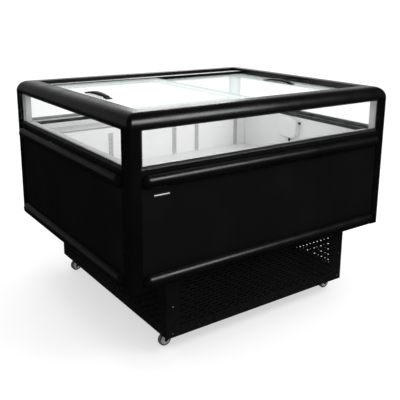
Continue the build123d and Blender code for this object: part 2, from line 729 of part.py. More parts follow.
# ---- lids ----
def make_lid_tracks():
    """Front and rear tracks with an upper and a lower groove."""
    track_bottom = LOWER_LID_TOP - LID_GLASS - SLIDE_CLEARANCE - TRACK_FLANGE
    middle = UPPER_LID_TOP - LID_GLASS - SLIDE_CLEARANCE - TRACK_FLANGE
    top = UPPER_LID_TOP + TRACK_TOP_GAP
    track_height = top + TRACK_FLANGE - track_bottom
    with BuildPart() as tracks:
        for side in ("front", "rear"):
            with BuildSketch(section_plane(side, TRACK_FACE)):
                with Locations((TRACK_WALL / 2, track_bottom + track_height / 2)):
                    Rectangle(TRACK_WALL, track_height)
                for level in (track_bottom, middle, top):
                    with Locations((TRACK_WIDTH / 2, level + TRACK_FLANGE / 2)):
                        Rectangle(TRACK_WIDTH, TRACK_FLANGE)
            extrude(amount=END_RAIL_FACE, both=True)
    save(tracks, "lid_tracks")


def make_lid_glass(name, way, top):
    """Tempered lid pane, long enough to overlap the other one."""
    with BuildPart() as glass:
        box_between(
            (min(way * LID_OUTER, -way * LID_OVERLAP / 2), -LID_HALF_WIDTH, top - LID_GLASS),
            (max(way * LID_OUTER, -way * LID_OVERLAP / 2), LID_HALF_WIDTH, top),
        )
        fillet(glass.edges().filter_by(Axis.Z), LID_CORNER)
    save(glass, f"lid_glass_{name}")


def make_lid_strips(name, way, top):
    """Channel over the outer end of a lid, and the brush seal along its inner end."""
    length = 2 * (TRACK_TIP - LID_END_GAP)
    outer = way * (LID_OUTER + STRIP_WALL)
    seal_height = LID_STEP - LID_GLASS - SLIDE_CLEARANCE
    seal_low = top - LID_GLASS - seal_height if way < 0 else top
    with BuildPart() as strips:
        with BuildSketch(Plane.XZ.offset(-length / 2)):
            with Locations((outer - way * STRIP_WIDTH / 2, top - LID_GLASS / 2)):
                Rectangle(STRIP_WIDTH, LID_GLASS + 2 * STRIP_WALL)
            with Locations((way * LID_OUTER - way * STRIP_WIDTH / 2, top - LID_GLASS / 2)):
                Rectangle(STRIP_WIDTH, LID_GLASS, mode=Mode.SUBTRACT)
            with Locations((way * (SEAL_THICKNESS - LID_OVERLAP) / 2, seal_low + seal_height / 2)):
                Rectangle(SEAL_THICKNESS, seal_height)
        extrude(amount=length)
    save(strips, f"lid_strips_{name}")


def make_lid_handle(name, way, top):
    """Low bow handle across the lid: two flat feet and an arched grip."""
    half = HANDLE_LENGTH / 2
    foot = half - HANDLE_FOOT
    shoulder = foot + HANDLE_GRIP
    outer_height = top + HANDLE_HEIGHT
    inner_height = outer_height - HANDLE_GRIP
    foot_top = top + HANDLE_FOOT_THICKNESS
    with BuildPart() as handle:
        with BuildSketch(Plane.YZ.offset(way * HANDLE_MIDDLE)):
            with BuildLine():
                Polyline((foot, top), (half, top), (half, foot_top), (shoulder, foot_top))
                ThreePointArc((shoulder, foot_top), (0, outer_height), (-shoulder, foot_top))
                Polyline((-shoulder, foot_top), (-half, foot_top), (-half, top), (-foot, top))
                ThreePointArc((-foot, top), (0, inner_height), (foot, top))
            make_face()
        extrude(amount=HANDLE_WIDTH / 2, both=True)
        fillet(handle.edges().filter_by(Axis.Z), HANDLE_WIDTH / 4)
    save(handle, f"lid_handle_{name}")


# ---- inside the tub ----
def make_floor_trays():
    """Folded trays over the evaporator, side by side along the tub."""
    length = TRAY_PITCH - TRAY_GAP
    width = 2 * TUB_Y
    with BuildPart() as trays:
        with BuildSketch(Plane.XY.offset(TRAY_TOP - TRAY_FLANGE)):
            with GridLocations(TRAY_PITCH, 0, TRAY_COUNT, 1):
                Rectangle(length, width)
        extrude(amount=TRAY_FLANGE)
        with BuildSketch(Plane.XY.offset(TRAY_TOP - TRAY_FLANGE)):
            with GridLocations(TRAY_PITCH, 0, TRAY_COUNT, 1):
                Rectangle(length - 2 * TRAY_SHEET, width - 2 * TRAY_SHEET)
        extrude(amount=TRAY_FLANGE - TRAY_SHEET, mode=Mode.SUBTRACT)
    save(trays, "floor_trays")


def make_duct_panels():
    """Inner wall panels, front and rear, folded over at the top to the liner."""
    length = LINER_LENGTH - 2 * TRAY_GAP
    with BuildPart() as panels:
        for side in ("front", "rear"):
            with BuildSketch(section_plane(side, LINER_WIDTH / 2)):
                with BuildLine():
                    Polyline(
                        (DUCT_DEPTH - DUCT_SHEET, LINER_FLOOR),
                        (DUCT_DEPTH, LINER_FLOOR),
                        (DUCT_DEPTH, DUCT_TOP),
                        (0, DUCT_TOP),
                        (0, DUCT_TOP - DUCT_SHEET),
                        (DUCT_DEPTH - DUCT_SHEET, DUCT_TOP - DUCT_SHEET),
                        (DUCT_DEPTH - DUCT_SHEET, LINER_FLOOR),
                    )
                make_face()
            extrude(amount=length / 2, both=True)
        with BuildSketch(Plane.XY.offset(DUCT_TOP - DUCT_SHEET)):
            with GridLocations(LINER_LENGTH - LINER_RADIUS, LINER_WIDTH - LINER_RADIUS, 2, 2):
                Rectangle(LINER_RADIUS, LINER_RADIUS)
        extrude(amount=DUCT_SHEET, mode=Mode.SUBTRACT)
    save(panels, "duct_panels")


def make_wall_uprights():
    """Slotted strips on the duct panels for basket dividers."""
    bottom = TRAY_TOP + UPRIGHT_BOTTOM_GAP
    height = DUCT_TOP - UPRIGHT_TOP_GAP - bottom
    seam = TRAY_PITCH / 2
    one_way = (
        seam - UPRIGHT_BEFORE_SEAM,
        seam + UPRIGHT_AFTER_SEAM,
        LINER_LENGTH / 2 - UPRIGHT_FROM_END,
    )
    places = [way * place for place in one_way for way in (-1, 1)]
    slots = int(height / UPRIGHT_SLOT_PITCH) - 1
    with BuildPart() as uprights:
        for side in ("front", "rear"):
            with BuildSketch(face_plane(side, TUB_Y)):
                with Locations(*[(x, bottom + height / 2) for x in places]):
                    Rectangle(UPRIGHT_WIDTH, height)
                    with GridLocations(0, UPRIGHT_SLOT_PITCH, 1, slots):
                        Rectangle(*UPRIGHT_SLOT, mode=Mode.SUBTRACT)
            extrude(amount=-UPRIGHT_DEPTH)
    save(uprights, "wall_uprights")


def make_wall_pod():
    """Rounded white air cover on the right end wall."""
    with BuildPart() as pod:
        with BuildSketch(face_plane("right", LINER_LENGTH / 2)):
            with Locations((0, POD_BOTTOM + POD_HEIGHT / 2)):
                RectangleRounded(POD_WIDTH, POD_HEIGHT, POD_RADIUS)
        extrude(amount=-POD_DEPTH)
        fillet(pod.faces().sort_by(Axis.X)[0].edges(), POD_EDGE)
    save(pod, "wall_pod")


# ---- machinery ----
def make_coil_block(name, centre, size, tubes):
    """Finned coil: flat fins on straight tubes, joined by a header at each end."""
    length, depth, height = size
    fins = int(length / COIL_FIN_PITCH)
    header = 2 * COIL_TUBE_RADIUS
    tube_plane = Plane(origin=centre, x_dir=(0, 1, 0), z_dir=(1, 0, 0))
    with BuildPart(Plane(centre)) as coil:
        with GridLocations(COIL_FIN_PITCH, 0, fins, 1):
            Box(COIL_FIN, depth, height)
        with BuildSketch(tube_plane.offset(-length / 2)):
            with GridLocations(depth / 2, height / tubes, 2, tubes):
                Circle(COIL_TUBE_RADIUS)
        extrude(amount=length)
        with GridLocations(length + header, 0, 2, 1):
            Box(header, depth, height)
    save(coil, name)


def fan_plate_size(tip_radius, border):
    """Side of a fan's square plate."""
    return 2 * (tip_radius + FAN_TIP_CLEARANCE + border)


def make_fan_frame(name, centre, size, tip_radius, depth):
    """Square fan plate with its ring opening, the motor on four arms, and the shaft."""
    motor_radius = FAN_HUB_SHARE * tip_radius
    upright = (Align.CENTER, Align.CENTER, Align.MIN)
    with BuildPart(Plane(origin=centre, x_dir=(0, 1, 0), z_dir=(1, 0, 0))) as frame:
        Box(size, size, FAN_SHEET)
        Hole(tip_radius + FAN_TIP_CLEARANCE)
        with Locations((0, 0, -depth)):
            Cylinder(motor_radius, depth, align=upright)
            Box(size, FAN_ARM_WIDTH, FAN_SHEET)
            Box(FAN_ARM_WIDTH, size, FAN_SHEET)
            with PolarLocations((size - FAN_ARM_WIDTH) / 2, 4):
                Cylinder(FAN_SHEET, depth, align=upright)
        Cylinder(AXLE_RADIUS, depth, align=upright)
    save(frame, name)


def make_fan_rotor(name, centre, tip_radius, depth):
    """Fan rotor: hub with a shaft bore and pitched blades."""
    hub_radius = FAN_HUB_SHARE * tip_radius
    chord = FAN_CHORD_SHARE * tip_radius
    with BuildPart(Plane(origin=centre, x_dir=(0, 1, 0), z_dir=(1, 0, 0))) as rotor:
        with Locations((0, 0, depth / 2 + FAN_SHEET / 2)):
            with PolarLocations(tip_radius / 2, FAN_BLADES):
                Box(tip_radius, chord, FAN_BLADE_SHEET, rotation=(FAN_PITCH, 0, 0))
            Cylinder(tip_radius, depth, mode=Mode.INTERSECT)
            Cylinder(hub_radius, depth - FAN_SHEET)
            Hole(AXLE_RADIUS + SHAFT_CLEARANCE)
    save(rotor, name)


def make_compressor():
    """Hermetic compressor: domed shell with a weld band, on a mounting foot."""
    x, y = COMPRESSOR_PLACE
    foot_length, foot_width, foot = COMPRESSOR_FOOT
    band_proud, band_height = COMPRESSOR_BAND
    foot_plane = Plane((x, y, BASE_TOP))
    shell_bottom = BASE_TOP + foot
    with BuildPart() as compressor:
        with BuildSketch(foot_plane):
            RectangleRounded(foot_length, foot_width, COMPRESSOR_FOOT_CORNER)
        extrude(amount=foot)
        with BuildSketch(foot_plane.offset(foot)):
            Circle(COMPRESSOR_RADIUS)
        extrude(amount=COMPRESSOR_HEIGHT)
        rims = compressor.edges().filter_by(GeomType.CIRCLE)
        fillet(rims.group_by(Axis.Z)[-1], COMPRESSOR_DOME)
        with Locations((x, y, shell_bottom + COMPRESSOR_BAND_RISE)):
            Cylinder(COMPRESSOR_RADIUS + band_proud, band_height)
        with Locations((x + COMPRESSOR_RADIUS, y, shell_bottom + TERMINAL_BOX_RISE)):
            Box(*TERMINAL_BOX)
    save(compressor, "compressor")


make_plinth_base_plate()
make_plinth_frame()
for side in TURNS:
    make_grille(side)
    make_panel(side)
    make_top_rail(side)
    make_side_glass(side)
make_power_inlet()
make_caster_plates()
for corner, (sx, sy) in CORNERS.items():
    make_caster_fork(corner, sx, sy)
    make_caster_wheel(corner, sx, sy)
    make_corner_post(corner, sx, sy)
make_base_pan()
make_foam_core()
make_liner()
make_corner_castings()
make_breaker_frame()
make_bumper_rails()
make_bumper_caps()
make_badge_plate()
make_glazing_spacers()
make_corner_trims()
make_lid_tracks()
for name, (way, top) in LIDS.items():
    make_lid_glass(name, way, top)
    make_lid_strips(name, way, top)
    make_lid_handle(name, way, top)
make_floor_trays()
make_duct_panels()
make_wall_uprights()
make_wall_pod()
make_compressor()

evaporator_place = (EVAPORATOR_X, 0, LINER_FLOOR + EVAPORATOR_SIZE[2] / 2)
evaporator_fan_size = fan_plate_size(EVAPORATOR_FAN_RADIUS, EVAPORATOR_FAN_BORDER)
evaporator_fan_place = (
    EVAPORATOR_X - EVAPORATOR_SIZE[0] / 2 - EVAPORATOR_FAN_GAP,
    0,
    LINER_FLOOR + evaporator_fan_size / 2,
)
condenser_place = (CONDENSER_X, CONDENSER_Y, BASE_TOP + CONDENSER_SIZE[2] / 2)
condenser_fan_size = fan_plate_size(CONDENSER_FAN_RADIUS, CONDENSER_FAN_BORDER)
condenser_fan_place = (
    CONDENSER_X + CONDENSER_SIZE[0] / 2 + CONDENSER_FAN_GAP,
    CONDENSER_Y,
    BASE_TOP + condenser_fan_size / 2,
)
make_coil_block("evaporator", evaporator_place, EVAPORATOR_SIZE, EVAPORATOR_TUBES)
make_coil_block("condenser", condenser_place, CONDENSER_SIZE, CONDENSER_TUBES)
for name, place, size, radius, depth in (
    (
        "evaporator_fan",
        evaporator_fan_place,
        evaporator_fan_size,
        EVAPORATOR_FAN_RADIUS,
        EVAPORATOR_FAN_DEPTH,
    ),
    (
        "condenser_fan",
        condenser_fan_place,
        condenser_fan_size,
        CONDENSER_FAN_RADIUS,
        CONDENSER_FAN_DEPTH,
    ),
):
    make_fan_frame(f"{name}_frame", place, size, radius, depth)
    make_fan_rotor(f"{name}_rotor", place, radius, depth - HUB_SHORTER)
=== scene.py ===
import json
import math

import bmesh
import bpy
from mathutils import Matrix, Vector


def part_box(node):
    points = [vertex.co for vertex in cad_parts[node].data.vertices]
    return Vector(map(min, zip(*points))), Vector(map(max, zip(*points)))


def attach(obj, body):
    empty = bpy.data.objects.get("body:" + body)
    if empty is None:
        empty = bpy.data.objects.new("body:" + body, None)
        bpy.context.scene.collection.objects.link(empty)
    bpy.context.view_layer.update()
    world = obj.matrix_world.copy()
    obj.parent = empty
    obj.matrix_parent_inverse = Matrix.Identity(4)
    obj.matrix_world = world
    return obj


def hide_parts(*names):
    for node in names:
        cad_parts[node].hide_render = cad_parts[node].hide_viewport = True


# Looks of the island chest freezer, in metres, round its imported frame.
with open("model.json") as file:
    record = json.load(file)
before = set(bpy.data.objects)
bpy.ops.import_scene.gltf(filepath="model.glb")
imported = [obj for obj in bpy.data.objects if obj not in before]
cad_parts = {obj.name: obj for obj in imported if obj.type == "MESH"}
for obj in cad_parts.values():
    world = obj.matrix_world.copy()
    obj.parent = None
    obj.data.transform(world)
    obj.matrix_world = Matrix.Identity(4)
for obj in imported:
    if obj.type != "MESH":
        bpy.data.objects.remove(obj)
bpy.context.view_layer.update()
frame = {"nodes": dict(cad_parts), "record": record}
NODES = frame["nodes"]
SIDES = {"front": 0, "right": 90, "rear": 180, "left": 270}
CORNERS = {
    "front_left": (-1, -1),
    "front_right": (1, -1),
    "rear_left": (-1, 1),
    "rear_right": (1, 1),
}
MM = 0.001
SHARP_ANGLE = math.radians(35)
GASKET = 3 * MM  # dark line between the side glass and the light ledge
FACE_DEPTH = 0.5 * MM  # how far below a top face its own colour reaches
LIP_START = 35 * MM  # outer face of the lid tracks to their light slide strip
DARK_LEDGE = 40 * MM  # width of the right hand ledge, which stays dark
DUCT_SHADE_LINE = 8 * MM  # height of the dark painted shade line under the folded top of the duct panels
BADGE_MARGIN = 4 * MM
BADGE_BAR = 1.6 * MM  # half height of the plain bar
BLACK = (0.0016, 0.0016, 0.0017)


# ---- node materials ----
class Shader:
    """A Principled material with helpers for its procedural detail."""

    def __init__(self, name, colour, roughness, specular=0.5, metallic=0.0):
        self.material = bpy.data.materials.new(name)
        self.material.use_nodes = True
        self.nodes = self.material.node_tree.nodes
        self.links = self.material.node_tree.links
        self.bsdf = self.nodes["Principled BSDF"]
        self.bsdf.inputs["Base Color"].default_value = (*colour, 1)
        self.bsdf.inputs["Roughness"].default_value = roughness
        self.bsdf.inputs["Specular IOR Level"].default_value = specular
        self.bsdf.inputs["Metallic"].default_value = metallic
        self.colour = colour
        self.place = self.nodes.new("ShaderNodeTexCoord")

    def stretched(self, stretch=(1, 1, 1)):
        """Object coordinates, stretched for brushed or streaked surfaces."""
        mapping = self.nodes.new("ShaderNodeMapping")
        mapping.inputs["Scale"].default_value = stretch
        self.links.new(self.place.outputs["Object"], mapping.inputs["Vector"])
        return mapping.outputs["Vector"]

    def noise(self, scale, detail=3.0, stretch=(1, 1, 1)):
        """Noise from 0 to 1 over the surface."""
        texture = self.nodes.new("ShaderNodeTexNoise")
        texture.inputs["Scale"].default_value = scale
        texture.inputs["Detail"].default_value = detail
        self.links.new(self.stretched(stretch), texture.inputs["Vector"])
        return texture.outputs["Fac"]

    def between(self, value, low, high, start=0.3, end=0.7):
        """A value of 0 to 1 spread over low to high."""
        spread = self.nodes.new("ShaderNodeMapRange")
        spread.inputs["From Min"].default_value = start
        spread.inputs["From Max"].default_value = end
        spread.inputs["To Min"].default_value = low
        spread.inputs["To Max"].default_value = high
        self.links.new(value, spread.inputs["Value"])
        return spread.outputs["Result"]

    def maths(self, operation, first, second):
        """Maths on two values, either of which may be a plain number."""
        node = self.nodes.new("ShaderNodeMath")
        node.operation = operation
        for socket, value in zip(node.inputs, (first, second)):
            if isinstance(value, (int, float)):
                socket.default_value = value
            else:
                self.links.new(value, socket)
        return node.outputs["Value"]

    def axis(self, name, output="Object"):
        """One coordinate of the surface point, or of its normal."""
        split = self.nodes.new("ShaderNodeSeparateXYZ")
        self.links.new(self.place.outputs[output], split.inputs["Vector"])
        return split.outputs[name]

    def rough(self, value):
        """Drive the roughness."""
        self.links.new(value, self.bsdf.inputs["Roughness"])

    def tint(self, factor, other):
        """Mix the base colour towards another colour."""
        mix = self.nodes.new("ShaderNodeMix")
        mix.data_type = "RGBA"
        source = self.bsdf.inputs["Base Color"]
        if source.is_linked:
            self.links.new(source.links[0].from_socket, mix.inputs["A"])
        else:
            mix.inputs["A"].default_value = (*self.colour, 1)
        mix.inputs["B"].default_value = (*other, 1)
        self.links.new(factor, mix.inputs["Factor"])
        self.links.new(mix.outputs["Result"], source)

    def bump(self, height, distance, strength=1.0):
        """Add a bump, on top of any earlier one."""
        node = self.nodes.new("ShaderNodeBump")
        node.inputs["Distance"].default_value = distance
        node.inputs["Strength"].default_value = strength
        self.links.new(height, node.inputs["Height"])
        normal = self.bsdf.inputs["Normal"]
        if normal.is_linked:
            self.links.new(normal.links[0].from_socket, node.inputs["Normal"])
        self.links.new(node.outputs["Normal"], normal)


def powder_coat(name, colour, roughness, specular, peel=0.000012, dust=None):
    """Black powder coat: fine orange peel, uneven sheen and a trace of dust."""
    coat = Shader(name, colour, roughness, specular=specular)
    coat.rough(coat.between(coat.noise(9, 4), roughness - 0.05, roughness + 0.07))
    coat.bump(coat.noise(900, 2), peel)
    haze = coat.between(coat.noise(5, 5), 0.0, 0.5, 0.45, 0.8)
    lighter = tuple(c * 1.5 + 0.0012 for c in colour)
    coat.tint(haze, lighter)
    if dust:
        low, high = dust
        settled = coat.between(coat.axis("Z"), 0.35, 0.0, low, high)
        speck = coat.between(coat.noise(60, 6), 0.0, 1.0, 0.4, 0.75)
        coat.tint(coat.maths("MULTIPLY", settled, speck), (0.02, 0.019, 0.018))
    return coat.material


def moulded_plastic(name, colour, roughness, specular=0.5, grain=500, depth=0.00002):
    """Moulded plastic with a fine grain and faint flow marks."""
    plastic = Shader(name, colour, roughness, specular=specular)
    plastic.rough(plastic.between(plastic.noise(14, 3), roughness - 0.04, roughness + 0.06))
    plastic.bump(plastic.noise(grain, 2), depth)
    lighter = tuple(c * 1.35 + 0.001 for c in colour)
    plastic.tint(plastic.between(plastic.noise(7, 4), 0.0, 0.6), lighter)
    return plastic.material


def coated_sheet(name, colour, roughness, specular=0.4):
    """Pre-painted white sheet with a faint stucco and a little unevenness."""
    sheet = Shader(name, colour, roughness, specular=specular)
    sheet.rough(sheet.between(sheet.noise(6, 3), roughness - 0.05, roughness + 0.1))
    sheet.bump(sheet.noise(160, 2), 0.00008)
    greyer = tuple(c * 0.94 for c in colour)
    sheet.tint(sheet.between(sheet.noise(4, 5), 0.0, 0.7), greyer)
    return sheet.material


def bare_metal(name, colour, roughness, stretch=(1, 1, 1), spangle=None):
    """Bare or plated metal with a drawn grain, or the spangle of zinc."""
    metal = Shader(name, colour, roughness, metallic=1.0)
    grain = metal.noise(250, 3, stretch)
    metal.rough(metal.between(grain, roughness - 0.06, roughness + 0.12))
    metal.bump(grain, 0.00002)
    darker = tuple(c * 0.72 for c in colour)
    metal.tint(metal.between(metal.noise(12, 4), 0.0, 0.6), darker)
    if spangle:
        cells = metal.nodes.new("ShaderNodeTexVoronoi")
        cells.inputs["Scale"].default_value = spangle
        metal.links.new(metal.stretched(), cells.inputs["Vector"])
        flake = metal.nodes.new("ShaderNodeRGBToBW")
        metal.links.new(cells.outputs["Color"], flake.inputs["Color"])
        metal.tint(metal.between(flake.outputs["Val"], 0.0, 0.4), tuple(c * 0.6 for c in colour))
    return metal.material


def ledge_sheet(name, mouth, dark, light):
    """Breaker frame: black outside, light ledge inside the glass, with a dark gasket line."""
    low, high = mouth
    ledge = Shader(name, dark, 0.3, specular=0.5)
    across = ledge.maths("ABSOLUTE", ledge.axis("X"), 0)
    deep = ledge.maths("ABSOLUTE", ledge.axis("Y"), 0)
    inside_x = ledge.maths("LESS_THAN", across, high.x - GASKET)
    inside_y = ledge.maths("LESS_THAN", deep, high.y - GASKET)
    on_top = ledge.maths("GREATER_THAN", ledge.axis("Z"), low.z - FACE_DEPTH)
    not_right = ledge.maths("LESS_THAN", ledge.axis("X"), high.x - DARK_LEDGE)
    inside = ledge.maths("MULTIPLY", ledge.maths("MULTIPLY", inside_x, inside_y), on_top)
    inside = ledge.maths("MULTIPLY", inside, not_right)
    ledge.tint(inside, light)
    ledge.rough(ledge.between(ledge.noise(9, 4), 0.26, 0.36))
    ledge.bump(ledge.noise(700, 2), 0.00002)
    return ledge.material


def track_sheet(name, dark, light, top):
    """Lid tracks: black anodised, with a light slide strip along the inner lip on top."""
    track = Shader(name, dark, 0.35, specular=0.4)
    deep = track.maths("ABSOLUTE", track.axis("Y"), 0)
    lip = track.maths("LESS_THAN", deep, top.y - LIP_START)
    on_top = track.maths("GREATER_THAN", track.axis("Z"), top.z - FACE_DEPTH)
    track.tint(track.maths("MULTIPLY", lip, on_top), light)
    track.rough(track.between(track.noise(120, 3, (0.05, 1, 1)), 0.28, 0.42))
    track.bump(track.noise(300, 2, (0.05, 1, 1)), 0.00002)
    return track.material


def duct_sheet(name, colour, top):
    """White duct panel with painted shade: a greyer folded top and a dark painted shade line under the fold.
    """
    duct = Shader(name, colour, 0.4, specular=0.4)
    height = duct.axis("Z")
    # painted shade: a dark band along the top edge, under the fold
    duct.tint(duct.maths("GREATER_THAN", height, top - DUCT_SHADE_LINE), tuple(c * 0.35 for c in colour))
    # painted shade: the folded top face is greyer than the rest of the panel
    duct.tint(duct.maths("GREATER_THAN", height, top - FACE_DEPTH), tuple(c * 0.72 for c in colour))
    duct.tint(duct.between(duct.noise(4, 5), 0.0, 0.25), tuple(c * 0.9 for c in colour))
    duct.bump(duct.noise(160, 2), 0.00008)
    return duct.material


def rubber(name, colour, roughness):
    """Matt rubber with a worn, dusty surface."""
    tyre = Shader(name, colour, roughness, specular=0.35)
    tyre.bump(tyre.noise(700, 4), 0.00005)
    tyre.rough(tyre.between(tyre.noise(40, 3), roughness - 0.1, roughness + 0.1))
    tyre.tint(tyre.between(tyre.noise(80, 5), 0.0, 0.6, 0.4, 0.8), (0.16, 0.155, 0.15))
    return tyre.material


def pane(name, facing_alpha, glancing_alpha, edge_axis, edge_alpha):
    """Clear glass: nearly open face on, with a painted reflection at a glance where its pale base colour
    shows more, tinted at its cut edges.
    """
    glass = Shader(name, (0.90, 1.0, 0.98), 0.02, specular=0.5)
    # painted reflection: the pale base colour becomes more opaque at a glance, in place of the glass
    # mirroring the white room
    glance = glass.nodes.new("ShaderNodeLayerWeight")
    glance.inputs["Blend"].default_value = 0.5
    mirror = glass.between(glance.outputs["Facing"], facing_alpha, glancing_alpha, 0.55, 0.85)
    across = glass.maths("ABSOLUTE", glass.axis(edge_axis, "Normal"), 0)
    on_edge = glass.between(across, 1.0, 0.0, 0.2, 0.6)
    cut = glass.maths("MULTIPLY", on_edge, edge_alpha)
    glass.links.new(glass.maths("MAXIMUM", mirror, cut), glass.bsdf.inputs["Alpha"])
    glass.tint(on_edge, (0.10, 0.16, 0.15))
    smear = glass.noise(3, 5)
    glass.rough(glass.between(smear, 0.01, 0.06))
    return glass.material


def foam(name):
    """Sawn look of poured foam."""
    core = Shader(name, (0.78, 0.66, 0.38), 0.9, specular=0.2)
    pores = core.nodes.new("ShaderNodeTexVoronoi")
    pores.inputs["Scale"].default_value = 600
    core.links.new(core.stretched(), pores.inputs["Vector"])
    core.bump(pores.outputs["Distance"], 0.0004)
    core.tint(core.between(core.noise(15, 5), 0.0, 0.6), (0.62, 0.48, 0.22))
    return core.material


def name_plate(name, plate):
    """Dark plate with one plain light bar, and no lettering."""
    low, high = plate
    badge = Shader(name, (0.012, 0.012, 0.013), 0.35)
    middle = (low + high) / 2
    half = (high - low) / 2
    along = badge.maths("ABSOLUTE", badge.maths("SUBTRACT", badge.axis("X"), middle.x), 0)
    upright = badge.maths("ABSOLUTE", badge.maths("SUBTRACT", badge.axis("Z"), middle.z), 0)
    inside_x = badge.maths("LESS_THAN", along, half.x - BADGE_MARGIN)
    inside_z = badge.maths("LESS_THAN", upright, BADGE_BAR)
    bar = badge.maths("MULTIPLY", inside_x, inside_z)
    badge.tint(bar, (0.62, 0.62, 0.62))
    badge.bump(badge.noise(400, 2, (1, 1, 12)), 0.00002)
    badge.rough(badge.between(badge.noise(30, 3), 0.28, 0.42))
    return badge.material


GLASS_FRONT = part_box("side_glass_front")
GLASS_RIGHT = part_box("side_glass_right")
GLASS_MOUTH = (
    Vector((-GLASS_RIGHT[0].x, GLASS_FRONT[1].y, GLASS_FRONT[0].z)),
    Vector((GLASS_RIGHT[0].x, -GLASS_FRONT[1].y, GLASS_FRONT[1].z)),
)
MATERIALS = {
    "frame_black": powder_coat("frame_black", BLACK, 0.27, 0.5),
    "panel_paint": powder_coat("panel_paint", (0.0035, 0.0035, 0.0036), 0.45, 0.08),
    "plinth_paint": powder_coat(
        "plinth_paint", (0.0030, 0.0030, 0.0031), 0.5, 0.15, peel=0.00006, dust=(0.07, 0.2)
    ),
    "bumper": moulded_plastic("bumper", BLACK, 0.3, 0.5),
    "badge": name_plate("badge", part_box("badge_plate")),
    "galvanised": bare_metal("galvanised", (0.46, 0.47, 0.48), 0.38, spangle=70),
    "zinc": bare_metal("zinc", (0.72, 0.72, 0.71), 0.24, (1, 1, 6)),
    "compressor_black": powder_coat("compressor_black", (0.010, 0.010, 0.010), 0.35, 0.5),
    "coil_metal": bare_metal("coil_metal", (0.55, 0.56, 0.57), 0.35, (1, 8, 1)),
    "fan_plastic": moulded_plastic("fan_plastic", (0.02, 0.02, 0.02), 0.45),
    "light_trim": moulded_plastic("light_trim", (0.55, 0.55, 0.54), 0.35, 0.4),
    "liner_white": coated_sheet("liner_white", (0.82, 0.82, 0.82), 0.38),
    "track": track_sheet("track", BLACK, (0.4, 0.4, 0.4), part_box("lid_tracks")[1]),
    # painted shade: the floor trays are the liner's white sheet, darkened to stand in for the shade inside
    # the tub
    "shaded_tray": coated_sheet("shaded_tray", (0.62, 0.62, 0.62), 0.45),
    "ledge": ledge_sheet("ledge", GLASS_MOUTH, (0.0035, 0.0035, 0.0037), (0.62, 0.62, 0.62)),
    "duct": duct_sheet("duct", (0.84, 0.84, 0.84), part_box("duct_panels")[1].z),
    "foam": foam("foam"),
    "spacer_bar": bare_metal("spacer_bar", (0.62, 0.62, 0.62), 0.35, (8, 8, 1)),
    "socket": moulded_plastic("socket", (0.012, 0.012, 0.012), 0.5),
    "upright_grey": coated_sheet("upright_grey", (0.50, 0.50, 0.50), 0.45),
    # the glancing alpha of both glasses is a painted reflection
    "glass": pane("glass", 0.01, 0.08, "Z", 0.0),
    "lid_glass": pane("lid_glass", 0.015, 0.42, "Z", 0.6),
    "lid_strip": moulded_plastic("lid_strip", (0.22, 0.22, 0.22), 0.4),
    "handle": moulded_plastic("handle", (0.003, 0.003, 0.003), 0.35, 0.35),
    "tyre": rubber("tyre", (0.035, 0.035, 0.036), 0.62),
    "hub": moulded_plastic("hub", (0.32, 0.32, 0.33), 0.4),
    "screw": bare_metal("screw", (0.30, 0.30, 0.31), 0.3),
}
SPECIAL = {
    "breaker_frame": "ledge",
    "duct_panels": "duct",
    "floor_trays": "shaded_tray",
    "lid_tracks": "track",
}
for entry in frame["record"]["subparts"]:
    for material_slot in NODES[entry["node"]].material_slots:
        chosen = SPECIAL.get(entry["node"], entry["material_slot"])
        material_slot.material = MATERIALS[chosen]


# ---- mesh helpers ----
def piece(name, mesh, material, body):
    """Link a finished bmesh as a smooth shaded piece that rides on a body."""
    data = bpy.data.meshes.new(name)
    bmesh.ops.recalc_face_normals(mesh, faces=mesh.faces)
    mesh.to_mesh(data)
    mesh.free()
    data.materials.append(MATERIALS[material])
    built = bpy.data.objects.new(name, data)
    bpy.context.scene.collection.objects.link(built)
    built.data.shade_smooth()
    built.data.set_sharp_from_angle(angle=SHARP_ANGLE)
    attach(built, body)
    return built


def lathe(mesh, profile, place, segments=48):
    """Turn a closed profile of (radius, height) points round the place's z axis."""
    rings = []
    for step in range(segments):
        turn = Matrix.Rotation(2 * math.pi * step / segments, 4, "Z")
        ring = [mesh.verts.new(place @ turn @ Vector((r, 0, h))) for r, h in profile]
        rings.append(ring)
    count = len(profile)
    for step in range(segments):
        ring = rings[step]
        following = rings[(step + 1) % segments]
        for i in range(count):
            j = (i + 1) % count
            mesh.faces.new((ring[i], ring[j], following[j], following[i]))


def rounded_profile(corners, radii, steps=4):
    """Closed profile with each corner rounded by its radius."""
    points = []
    count = len(corners)
    for i, (corner, radius) in enumerate(zip(corners, radii)):
        here = Vector(corner)
        before = Vector(corners[i - 1])
        after = Vector(corners[(i + 1) % count])
        if not radius:
            points.append(tuple(here))
            continue
        to_before = (before - here).normalized()
        to_after = (after - here).normalized()
        half = to_before.angle(to_after) / 2
        start = here + to_before * radius / math.tan(half)
        centre = here + (to_before + to_after).normalized() * radius / math.sin(half)
        sweep = math.pi - 2 * half
        spoke = start - centre
        way = 1 if spoke.x * to_before.y - spoke.y * to_before.x < 0 else -1
        for step in range(steps + 1):
            turn = Matrix.Rotation(way * sweep * step / steps, 2)
            points.append(tuple(centre + turn @ spoke))
    return points


def side_place(side, out, shift=0.0, height=0.0):
    """Frame on a side of the freezer: x along it, y up, z outwards."""
    turn = Matrix.Rotation(math.radians(SIDES[side]), 4, "Z")
    stand = Matrix.Rotation(math.radians(90), 4, "X")
    return turn @ Matrix.Translation((shift, -out, height)) @ stand


